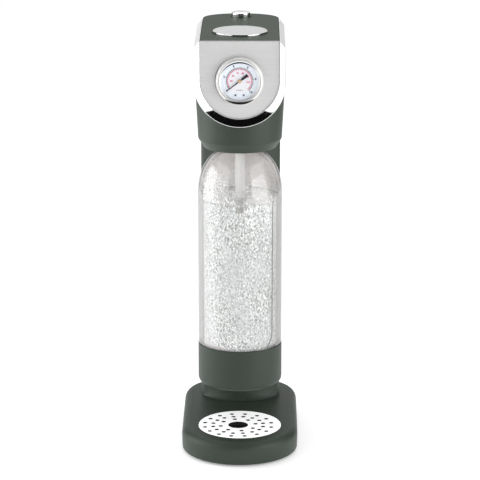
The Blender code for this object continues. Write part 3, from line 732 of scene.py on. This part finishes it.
HEAD_LOW, HEAD_HIGH = span("head_body")
BAND_LOW, BAND_HIGH = span("chrome_band")
PLATE_LOW, PLATE_HIGH = span("front_plate")
TOP_LOW, TOP_HIGH = span("top_cover")
BOTTLE_LOW, BOTTLE_HIGH = span("bottle")
BOTTLE_Y = (BOTTLE_LOW.y + BOTTLE_HIGH.y) / 2
PANEL_HALF = (PLATE_HIGH.x - PLATE_LOW.x) / 2
PANEL_ARC_Z = PLATE_LOW.z + PANEL_HALF
BAND_HALF = (BAND_HIGH.x - BAND_LOW.x) / 2
BAND_ARC_Z = BAND_LOW.z + BAND_HALF
SHOULDER_TOP_Z = PLATE_HIGH.z - 7.1
BOWL_Z, BOWL_R = HEAD_LOW.z + 9.0, 41.8
RIM_R = 35.9
HEAD_WALL = 2.5
BAND_LIP_Z, BAND_SIDE_X = 366.0, 27.0
BAND_SIDE_REAR, BAND_LIP_REAR = -30.0, -49.0
BUTTON_GAP = 0.5
GAUGE_HOLE_R = 21.0
TRIM_HEIGHT = 0.8
BOWL_TOP_R = (HEAD_HIGH.x - HEAD_LOW.x) / 2


def head_outline(radius, inset=0.0, sides=56):
    """The head in plan: round at the bottle, widening to the column."""
    radius -= inset
    front = half_turn(radius, radius, BOTTLE_Y, math.pi, sides)
    wide = max(radius, COLUMN_HALF + 0.3 - inset)
    back = []
    for i in range(1, 9):
        t = i / 8
        smooth = t * t * (3 - 2 * t)
        back.append((radius + (wide - radius) * smooth, BOTTLE_Y + (COLUMN_FRONT_Y - BOTTLE_Y) * t))
    back.append((wide, HEAD_HIGH.y))
    return front + back + [(-x, y) for x, y in back[::-1]]


def u_path(half, arc_z, top_z, sides=72):
    """A U in the XZ plane, from the left top round the bottom to the right top."""
    straight = [(half, arc_z + (top_z - arc_z) * f) for f in (0.25, 0.5, 0.75, 1.0)]
    arc = half_turn(half, half, arc_z, math.pi, sides)
    return [(-x, z) for x, z in straight[::-1]] + arc + straight


def make_head_body():
    low = HEAD_LOW.z
    outer = [(RIM_R - 1, low), (RIM_R, low), (BOWL_R, BOWL_Z), (BOWL_TOP_R, HEAD_HIGH.z)]
    rings = [level(head_outline(r), z) for r, z in rounded(outer, 1.0, 5)[1:]]
    inner = [(RIM_R + 1, low + HEAD_WALL), (BOWL_R, BOWL_Z), (BOWL_TOP_R, HEAD_HIGH.z + 1)]
    hollow = loft([level(head_outline(r, HEAD_WALL), z) for r, z in inner])
    mouth = prism(circle(0, BOTTLE_Y, RIM_R - HEAD_WALL, 96), low - 1, low + HEAD_WALL + 1)
    shaft = prism(column_path(COLUMN_WALL), low - 1, low + HEAD_WALL + 1)
    outside = u_path(BAND_HALF + 0.3, BAND_ARC_Z, HEAD_HIGH.z + 30)
    u_cut = loft([[(x, y, z) for x, z in outside] for y in (-90, HEAD_HIGH.y + 5)])
    shape = carved(loft(rings), [hollow, mouth, shaft, u_cut])
    finish_piece("bowl_skin", shape, "root", "body", None, ["head_body"], 28)


def make_band():
    """The chrome band: its flared bevel meets the panel, and a thin lip runs round its front."""
    outer = u_path(BAND_HALF, BAND_ARC_Z, SHOULDER_TOP_Z)
    inner = u_path(PANEL_HALF + 0.05, PANEL_ARC_Z, PLATE_HIGH.z)
    thin = u_path(BAND_HALF - 2.2, BAND_ARC_Z, SHOULDER_TOP_Z)
    thin[:4] = inner[:4]
    thin[-4:] = inner[-4:]
    stations = []
    for out, edge, back in zip(outer, inner, thin):
        rear = BAND_HIGH.y
        if out[1] < BAND_LIP_Z:
            rear = BAND_SIDE_REAR if abs(out[0]) > BAND_SIDE_X else BAND_LIP_REAR

        def across(share):
            return [out[i] + (edge[i] - out[i]) * share for i in (0, 1)]

        profile = [
            (out, BAND_LOW.y + 0.9),
            (across(0.04), BAND_LOW.y + 0.25),
            (across(0.09), BAND_LOW.y),
            (across(0.14), BAND_LOW.y + 0.15),
            (across(0.93), BAND_LOW.y + 3.3),
            (edge, PLATE_LOW.y - 0.2),
            (edge, PLATE_LOW.y + 4),
            (back, PLATE_LOW.y + 4.4),
            (back, rear),
            (across(0.25), rear),
            (across(0.07), rear - 1.2),
            (out, rear - 3),
        ]
        stations.append([(p[0], y, p[1]) for p, y in profile])
    finish_piece("chrome_surround", loft(stations), "root", "chrome", None, ["chrome_band"], 30)
    for side, end in (("left", 0), ("right", -1)):
        cap_wing(f"wing_cap_{side}", outer[end], inner[end])


def cap_wing(name, tip, root):
    """The satin top face of one end of the band, laid on the chrome as painted shade that keeps the
    wing grey.
    """
    rings = []
    for front in (True, False):
        ring = []
        for share, lift in ((0.1, 0.02), (0.1, 0.15), (0.86, 0.15), (0.86, 0.02)):
            x, z = (tip[i] + (root[i] - tip[i]) * share for i in (0, 1))
            y = BAND_LOW.y + 0.7 + 4.0 * share if front else BAND_HIGH.y - 3.6
            ring.append((x, y, z + lift))
        rings.append(ring)
    # Painted shade: a satin finish in place of the chrome's white.
    finish_piece(name, loft(rings), "root", "chrome", "satin")


def make_plate():
    outline = u_path(PANEL_HALF - 0.03, PANEL_ARC_Z, PLATE_HIGH.z)
    sheet = loft([[(x, y, z) for x, z in outline] for y in (PLATE_LOW.y, PLATE_HIGH.y)])
    tool = [(GAUGE_HOLE_R, PLATE_LOW.y - 2), (GAUGE_HOLE_R, PLATE_HIGH.y + 2)]
    hole = turned_y(tool, 0, GAUGE_Z, 96)
    shape = carved(sheet, [hole])
    plate = finish_piece("brushed_panel", shape, "root", "brushed", None, ["front_plate"])
    bevelled(plate, 0.2, 2)
    half, front, back, top = PANEL_HALF - 0.1, PLATE_LOW.y - 0.25, PLATE_LOW.y + 0.5, PLATE_HIGH.z
    plan = [(-half, front), (half, front), (half, back), (-half, back)]
    trim = prism(plan, top - TRIM_HEIGHT, top)
    finish_piece("plate_trim", trim, "root", "brushed", "bezel")


def make_top_cover():
    """The flat cover, round at the back, with a hole for each button."""
    half = PANEL_HALF - 0.15
    rear_y = COVER_LOW.y
    depth = TOP_HIGH.y - rear_y
    outline = [(-half, TOP_LOW.y), (half, TOP_LOW.y)]
    for i in range(57):
        x, y = superellipse(math.pi * i / 56, half, depth, 2.15)
        outline.append((x, rear_y + y))
    cuts = []
    for low, high in (span("carbonate_button"), span("release_button")):
        hole = circle(0, (low.y + high.y) / 2, (high.x - low.x) / 2 + BUTTON_GAP, 96)
        cuts.append(prism(hole, TOP_LOW.z - 2, TOP_HIGH.z + 2))
    cover = carved(prism(outline, TOP_LOW.z, TOP_HIGH.z), cuts)
    piece = finish_piece("top_skin", cover, "root", "body", "cover", ["top_cover"])
    bevelled(piece, 0.6, 3)


def make_buttons():
    """The big button, a satin cap with a chrome side, and the small chrome one behind it."""
    low, high = span("carbonate_button")
    radius, y = (high.x - low.x) / 2, (low.y + high.y) / 2
    profile = [(radius - 3, high.z - 4), (radius - 3, low.z), (radius, low.z)]
    profile += [(radius, high.z - 1.5), (radius - 0.9, high.z - 0.8), (14, high.z - 0.25)]
    shape = turned(rounded([*profile, (1, high.z)], 0.7), 0, y, 128)
    cap = finish_piece("big_button", shape, "carbonate", "brushed", "satin", ["carbonate_button"])
    cap.data.materials.append(FINISH["chrome"])
    for face in cap.data.polygons:
        if abs(face.normal.z) < 0.7:
            face.material_index = 1
    low, high = span("release_button")
    radius, y = (high.x - low.x) / 2, (low.y + high.y) / 2
    profile = [(radius, low.z), (radius, high.z - 1.2), (radius - 1.3, high.z - 0.35), (3, high.z)]
    shape = turned(rounded(profile, 0.6), 0, y, 96)
    finish_piece("small_button", shape, "release", "chrome", None, ["release_button"])


# ------------ gauge

BEZEL_LOW, BEZEL_HIGH = span("gauge_bezel")
DIAL_LOW, DIAL_HIGH = span("gauge_dial")
GAUGE_Z = (BEZEL_LOW.z + BEZEL_HIGH.z) / 2
DIAL_R = (DIAL_HIGH.x - DIAL_LOW.x) / 2
SWEEP_START, SWEEP = 218.0, 264.0
PRINT_DEPTH = 0.05


def on_dial(radius, degrees):
    """The x and z of a point round the gauge's middle."""
    a = math.radians(degrees)
    return radius * math.cos(a), GAUGE_Z + radius * math.sin(a)


def strip(edges, front):
    """A flat strip between pairs of x, z points, its front face at y = front."""
    bm = bmesh.new()
    rows = [[bm.verts.new((x, front, z)) for x, z in ends] for ends in edges]
    for a, b in zip(rows, rows[1:]):
        bm.faces.new((a[0], a[1], b[1], b[0]))
    return bm


def dial_arc(inner, outer, start, end, front, steps=72):
    angles = [start + (end - start) * i / steps for i in range(steps + 1)]
    return strip([(on_dial(inner, a), on_dial(outer, a)) for a in angles], front)


def thick(bm):
    """Give a flat print a little thickness towards the dial."""
    made = bmesh.ops.extrude_face_region(bm, geom=list(bm.faces))
    moved = [g for g in made["geom"] if isinstance(g, bmesh.types.BMVert)]
    bmesh.ops.translate(bm, verts=moved, vec=(0, PRINT_DEPTH, 0))
    return bm


def ticks(count, inner, outer, width, front):
    """Radial marks spread evenly over the gauge's sweep."""
    shapes = []
    for i in range(count + 1):
        a = SWEEP_START - SWEEP * i / count
        half = math.degrees(width / 2 / outer)
        shapes.append(dial_arc(inner, outer, a - half, a + half, front, 1))
    return joined(shapes)


def numeral(name, text, radius, degrees, size, finish, front):
    """One number on the dial, from the built-in font."""
    curve = bpy.data.curves.new(name, "FONT")
    curve.body = text
    curve.size = size * MM
    curve.align_x = "CENTER"
    curve.align_y = "CENTER"
    curve.extrude = 0.02 * MM
    curve.offset = 0.09 * MM
    text_object = in_scene(name, curve)
    bm = final_shape(text_object)
    bpy.data.objects.remove(text_object)
    x, z = on_dial(radius, degrees)
    for vertex in bm.verts:
        y = front if vertex.co.z > 0 else front + PRINT_DEPTH
        vertex.co = (vertex.co.x / MM + x, y, vertex.co.y / MM + z)
    bmesh.ops.remove_doubles(bm, verts=bm.verts, dist=0.001)
    return finish_piece(name, bm, "root", "dial", finish)


def crescent(radius, depth, middle, spread, front):
    """A flat crescent against a circle's inside, thickest at the middle angle."""
    edges = []
    for i in range(33):
        t = i / 16 - 1
        a = middle + spread * t
        inner = radius - 0.02 - depth * math.cos(math.pi / 2 * t)
        edges.append((on_dial(inner, a), on_dial(radius, a)))
    return thick(strip(edges, front))


def make_dial(shade_front):
    """The dial and its prints: an outer scale of 0 to 10 and an inner one of 20 to 120."""
    # Painted shadow of the bezel across the top of the dial.
    shade = crescent(DIAL_R + 0.6, 1.5, 96, 66, shade_front)
    finish_piece("dial_shade", shade, "root", "dial", "shade")
    face = DIAL_LOW.y
    profile = [(DIAL_R, DIAL_HIGH.y), (DIAL_R, face + 0.1), (DIAL_R - 0.1, face)]
    disc = turned_y(profile, 0, GAUGE_Z, 128)
    finish_piece("dial_plate", disc, "root", "dial", None, ["gauge_dial"])
    ink = face - 0.12
    low_end = SWEEP_START - SWEEP
    prints = [
        ("dial_middle", dial_arc(1.2, 12.6, 0, 360, face - 0.06, 128), "dial_inner"),
        ("scale_arc", dial_arc(12.6, 13.1, low_end, SWEEP_START, ink), "teal"),
        ("scale_marks", ticks(50, 13.0, 13.8, 0.24, ink), "teal"),
        ("scale_main_marks", ticks(5, 13.0, 14.3, 0.45, ink - 0.02), "ink"),
        ("inner_arc", dial_arc(11.5, 12.2, low_end, SWEEP_START, ink), "pink"),
        ("inner_marks", ticks(28, 10.4, 11.6, 0.42, ink), "pink"),
    ]
    for name, flat, finish in prints:
        finish_piece(name, thick(flat), "root", "dial", finish)
    for i in range(6):
        degrees = SWEEP_START - SWEEP * i / 5
        numeral(f"number_{i}", str(2 * i), 15.6, degrees, 3.0, "ink", ink)
    for i in range(1, 7):
        degrees = SWEEP_START - SWEEP * i / 7
        numeral(f"inner_number_{i}", str(20 * i), 8.1, degrees, 2.8, "pink", ink)
    low, high = GAUGE_Z - 9.3, GAUGE_Z - 8.9
    rule = strip([((-3.2, low), (-3.2, high)), ((3.2, low), (3.2, high))], ink)
    finish_piece("dial_rule", thick(rule), "root", "dial", "ink")


def make_gauge():
    """The bezel with painted shade and a painted shadow at its edge, the dial, the lens and the
    pointer.
    """
    front = BEZEL_LOW.y + 0.2
    back = BEZEL_HIGH.y
    outer = (BEZEL_HIGH.x - BEZEL_LOW.x) / 2
    lens_front = span("gauge_lens")[0].y
    profile = [
        (outer, back),
        (outer, front + 2.4),
        (outer - 1.3, front + 0.5),
        (outer - 2.4, front),
        (outer - 3.6, front + 0.2),
        (DIAL_R - 0.35, lens_front - 0.12),
        (DIAL_R + 0.2, lens_front - 0.08),
        (DIAL_R + 0.2, back),
    ]
    ring = turned_y(rounded(profile, 0.8, 5, True), 0, GAUGE_Z, 128, True)
    finish_piece("gauge_ring", ring, "root", "chrome", "bezel", ["gauge_bezel"])

    # Painted shade: a black crescent under the bezel's lower edge.
    under_bezel_shade = crescent(22.4, 2.5, 270, 42, BEZEL_LOW.y + 0.05)
    finish_piece("bezel_painted_shade", under_bezel_shade, "root", "chrome", "painted_dark_shade")
    # Painted shadow: a grey crescent on the plate along the bezel's left edge.
    edge = crescent(outer + 0.9, 1.2, 190, 62, PLATE_LOW.y - 0.1)
    finish_piece("gauge_painted_shadow", edge, "root", "chrome", "painted_bezel_shadow")
    make_dial(lens_front - 0.5)

    glass_low, glass_high = span("gauge_lens")
    glass = [(DIAL_R, glass_high.y), (DIAL_R, glass_low.y + 0.4), (DIAL_R - 0.5, glass_low.y)]
    lens = turned_y(rounded(glass, 0.3), 0, GAUGE_Z, 96)
    finish_piece("gauge_window", lens, "root", "lens", None, ["gauge_lens"])
    make_pointer()


def make_pointer():
    """The hand with its counterweight, the hub, and the two screws of the dial."""
    low, high = span("gauge_pointer")
    a = math.radians(SWEEP_START)
    along, across = Vector((math.cos(a), math.sin(a))), Vector((-math.sin(a), math.cos(a)))
    half = [(-9.9, 1.1), (-9.6, 1.35), (-3.6, 1.2), (-3.0, 0.8), (0, 0.75), (3, 0.6), (16.8, 0.3)]
    outline = [(u, -w) for u, w in half] + half[::-1]
    rings = []
    for y, shrink in ((high.y, 1.0), (low.y + 0.15, 1.0), (low.y, 0.8)):
        ring = []
        for u, w in outline:
            spot = along * u + across * w * shrink
            ring.append((spot.x, y, GAUGE_Z + spot.y))
        rings.append(ring)
    finish_piece("pointer_hand", loft(rings), "pointer", "black", "ink", ["gauge_pointer"])
    low, high = span("gauge_hub")
    radius = (high.x - low.x) / 2 - 0.3
    knob = [(radius, high.y), (radius, low.y + 0.35), (radius - 0.6, low.y), (0.3, low.y - 0.05)]
    shape = turned_y(knob, 0, GAUGE_Z, 48)
    finish_piece("pointer_hub", shape, "pointer", "brass", "hub", ["gauge_hub"])
    for number in (1, 2):
        name = f"dial_screw_{number}"
        low, high = span(name)
        x, z, radius = (low.x + high.x) / 2, (low.z + high.z) / 2, (high.x - low.x) / 2
        head = [(radius, high.y), (radius, low.y + 0.15), (radius * 0.6, low.y)]
        shape = turned_y(head, x, z, 24)
        finish_piece(f"dial_screw_head_{number}", shape, "root", "screws", "ink", [name])


# ------------ bottle

SHOULDER_Z = 260.0
SHOULDER_H = 50.0
SHOULDER_POWER = 2.3
SHOULDER_END = math.radians(68)
NECK_R = 16.5
BOTTLE_R = (BOTTLE_HIGH.x - BOTTLE_LOW.x) / 2
CUP_LOW, CUP_HIGH = span("bottle_cup")
WATER_Z = 257.5


def shoulder(inset, steps=28):
    """The bottle's shoulder as (radius, z), from its side up to its neck."""
    half, rise = BOTTLE_R - inset, SHOULDER_H - inset
    points = []
    for i in range(steps + 1):
        x, z = superellipse(SHOULDER_END * i / steps, half, rise, SHOULDER_POWER)
        points.append((x, SHOULDER_Z + z))
    return points


def make_bottle():
    """The clear bottle, a misted skin inside it above the water, and the cup round its foot."""
    jacket = BOTTLE_R - 2.5
    low = BOTTLE_LOW.z
    outer = [(jacket - 5, low), (jacket - 1.5, low + 1.4), (jacket, low + 5)]
    outer += [(jacket, CUP_HIGH.z + 0.3), (BOTTLE_R - 0.5, CUP_HIGH.z + 0.35)]
    outer += [(BOTTLE_R, CUP_HIGH.z + 1.0), *shoulder(0)]
    outer += [(NECK_R + 0.7, 306.2), (NECK_R, 308), (NECK_R, BOTTLE_HIGH.z)]
    skin = turned(outer, 0, BOTTLE_Y, 128)
    finish_piece("bottle_glass", skin, "bottle", "bottle", None, ["bottle"])

    inside, neck = 2.0, NECK_R - 1.9
    mist = [(BOTTLE_R - inside, WATER_Z + 0.6), *shoulder(inside)[2:]]
    mist += [(neck, 306), (neck, BOTTLE_HIGH.z - 1)]
    wall = [(r - 0.25, z) for r, z in mist[::-1]]
    skin = turned(mist + wall, 0, BOTTLE_Y, 128, True)
    finish_piece("bottle_mist", skin, "bottle", "bottle", "mist")

    cup_in = jacket + 0.25
    cup = [
        (BOTTLE_R - 6.0, CUP_LOW.z),
        (BOTTLE_R - 3.0, CUP_LOW.z + 0.7),
        (BOTTLE_R - 0.9, CUP_LOW.z + 2.6),
        (BOTTLE_R, CUP_LOW.z + 5.4),
        (BOTTLE_R, CUP_HIGH.z - 0.4),
        (BOTTLE_R - 0.4, CUP_HIGH.z),
        (cup_in, CUP_HIGH.z),
        (cup_in, low + 4.8),
        (cup_in - 4.8, low - 0.25),
    ]
    skin = turned(rounded(cup, 1.2), 0, BOTTLE_Y, 128)
    finish_piece("cup_skin", skin, "bottle", "body", None, ["bottle_cup"])


def make_water():
    """The water, up to WATER_Z, its surface sinking a little towards the dip tube in the middle."""
    radius = BOTTLE_R - 2.3
    profile = [(34, 67.5), (37.6, 72), (37.6, CUP_HIGH.z - 1), (radius, CUP_HIGH.z + 4)]
    profile += [(radius, z) for z in range(120, 250, 12)]
    profile += [(radius, WATER_Z - 1.5), (radius - 1.2, WATER_Z), (5.4, WATER_Z - 0.6)]
    finish_piece("fizzy_water", turned(profile, 0, BOTTLE_Y, 96), "bottle", "bottle", "water")


def make_bubbles(name, count, spread, size, seed):
    """Small glassy beads against the wall and over the water's surface."""
    place = random.Random(seed)
    whole = bmesh.new()
    for _ in range(count):
        x, y, z = spread(place)
        radius = size * place.uniform(0.5, 1.25)
        made = bmesh.ops.create_icosphere(whole, subdivisions=1, radius=radius)
        bmesh.ops.translate(whole, verts=made["verts"], vec=(x, y, z))
    finish_piece(name, whole, "bottle", "bottle", "bubble")


def around(radius, angle, z):
    """A point round the bottle's axis."""
    return radius * math.cos(angle), BOTTLE_Y + radius * math.sin(angle), z


def on_wall(place):
    angle = place.uniform(0, 2 * math.pi)
    return around(BOTTLE_R - 2.55, angle, place.uniform(112, WATER_Z - 2))


def on_surface(place):
    angle = place.uniform(0, 2 * math.pi)
    radius = 6.5 + 32 * math.sqrt(place.random())
    return around(radius, angle, WATER_Z + place.uniform(-0.3, 1.6))


def on_misted_wall(place):
    angle = place.uniform(0, 2 * math.pi)
    height = min(place.expovariate(1 / 6.0), 24)
    climb = max(0.0, (WATER_Z + height - SHOULDER_Z) / (SHOULDER_H - 2.6))
    radius = (BOTTLE_R - 2.7) * (1 - climb**SHOULDER_POWER) ** (1 / SHOULDER_POWER)
    return around(radius, angle, WATER_Z + height)


def make_tube():
    low, high = span("nozzle_tip")
    radius = (high.x - low.x) / 2
    jet = [(1.2, low.z), (radius - 0.5, low.z + 0.2), (radius, low.z + 1.4), (radius, high.z)]
    shape = turned(rounded(jet, 0.5), 0, BOTTLE_Y, 32)
    finish_piece("tube_nozzle", shape, "seat", "tube", "tip", ["nozzle_tip"])
    low, high = span("dip_tube")
    radius = (high.x - low.x) / 2
    body = [(radius - 0.8, low.z), (radius, low.z + 0.8), (radius, high.z)]
    shape = turned(rounded(body, 0.5), 0, BOTTLE_Y, 48)
    finish_piece("dip_tube_skin", shape, "seat", "tube", None, ["dip_tube"])


# ------------ CAD finishes, stage and camera


def dress_cad_nodes():
    """Give each CAD node that is still shown the procedural finish of its slot."""
    slots = {part["node"]: part["material_slot"] for part in frame["record"]["subparts"]}
    for name, item in frame["nodes"].items():
        material = FINISH[slots[name]]
        if item.data.materials:
            for i in range(len(item.data.materials)):
                item.data.materials[i] = material
        else:
            item.data.materials.append(material)


def area_light(name, place, aim, size, power, height=None):
    data = bpy.data.lights.new(name, "AREA")
    data.shape = "RECTANGLE"
    data.size = size
    data.size_y = height or size
    data.energy = power
    lamp = in_scene(name, data)
    lamp.location = place
    direction = Vector(aim) - Vector(place)
    lamp.rotation_euler = direction.to_track_quat("-Z", "Y").to_euler()


def reflector(name, corners, material):
    """A card that only reflections see, as studios use to draw edges on chrome."""
    mesh = bpy.data.meshes.new(name)
    mesh.from_pydata(corners, [], [(0, 1, 2, 3)])
    mesh.update()
    mesh.materials.append(material)
    card = in_scene(name, mesh)
    card.visible_camera = False
    card.visible_diffuse = False
    card.visible_shadow = False
    card.visible_transmission = False


WHITE_CARD_GLOW = 0.4


def plain_stage():
    """A wide pale floor, soft light from both sides, and the cards that draw on the chrome."""
    bm = bmesh.new()
    bmesh.ops.create_grid(bm, x_segments=1, y_segments=1, size=30)
    floor = in_scene("floor", mesh_of("floor", bm))
    floor.data.materials.append(light_up(printed("floor_paper", (0.93, 0.93, 0.93), 0.9), 0.3))

    dark = printed("card_black", (0.002, 0.002, 0.002), 1.0)
    dark.node_tree.nodes["Principled BSDF"].inputs["Specular IOR Level"].default_value = 0.05
    front, back = -1.2, -0.1
    low, split, high = 0.001, 0.7, 1.95
    upright = (("card_front", 0.75, low, split), ("card_upper", 0.85, split, high))
    for name, half, bottom, top in upright:
        corners = [(-half, bottom), (half, bottom), (half, top), (-half, top)]
        reflector(name, [(x, front, z) for x, z in corners], dark)
    corners = [(-1.0, front), (1.0, front), (1.0, back), (-1.0, back)]
    reflector("card_over", [(x, y, high) for x, y in corners], dark)
    for side, name in ((-1, "card_left"), (1, "card_right")):
        corners = [(1.3, 0.05, low), (0.8, 1.3, low), (0.8, 1.3, 1.2), (1.3, 0.05, 1.2)]
        reflector(name, [(side * x, y, z) for x, y, z in corners], dark)

    white = light_up(printed("card_white", (0.9, 0.9, 0.9), 0.9), WHITE_CARD_GLOW)
    for side, name, far, foot in ((-1, "white_left", -0.4, 0.0), (1, "white_right", 0.1, 0.9)):
        corners = [(-1.9, foot), (far, foot), (far, 1.9), (-1.9, 1.9)]
        reflector(name, [(side * 1.2, y, z) for y, z in corners], white)

    world = bpy.data.worlds.new("studio")
    bpy.context.scene.world = world
    world.use_nodes = True
    background = world.node_tree.nodes["Background"]
    background.inputs["Color"].default_value = (1, 1, 1, 1)
    background.inputs["Strength"].default_value = 0.75
    area_light("left_box", (-1.15, 0.25, 0.44), (0, 0.1, 0.4), 1.25, 11, 0.95)
    area_light("right_box", (1.15, -0.8, 0.44), (0, -0.4, 0.4), 1.25, 9, 0.95)
    area_light("top_box", (0, 0.9, 1.9), (0, 0, 0.2), 1.2, 8)


def photo_camera():
    """Looks a little down at the bottle's axis from straight in front."""
    data = bpy.data.cameras.new("camera")
    data.lens = 180.4
    data.sensor_width = 36
    camera = in_scene("camera", data)
    aim = Vector((0, BOTTLE_Y * MM, 0.212))
    away, azimuth, lift = 2.347, math.radians(0.5), 0.620
    camera.location = aim + Vector((away * math.sin(azimuth), -away * math.cos(azimuth), lift))
    camera.rotation_euler = (aim - camera.location).to_track_quat("-Z", "Y").to_euler()
    data.clip_end = 200
    bpy.context.scene.camera = camera


# Painted glow: the grid, the dial and the bezel give back more light than falls on them.
for slot, strength in (("grid", 0.4), ("dial", 0.17), ("dial_inner", 0.1), ("bezel", 0.03)):
    light_up(FINISH[slot], strength)
photo_camera()
dress_cad_nodes()
for make in (make_base, make_grid, make_tray, make_column, make_rear_cover, make_head_body):
    make()
for make in (make_band, make_plate, make_top_cover, make_buttons, make_gauge, make_bottle, make_water):
    make()
make_bubbles("wall_bubbles", 1400, on_wall, 0.42, 11)
make_bubbles("surface_foam", 420, on_surface, 0.8, 12)
make_bubbles("wall_drops", 700, on_misted_wall, 0.5, 13)
make_tube()
plain_stage()
bpy.context.scene.view_settings.view_transform = "Standard"
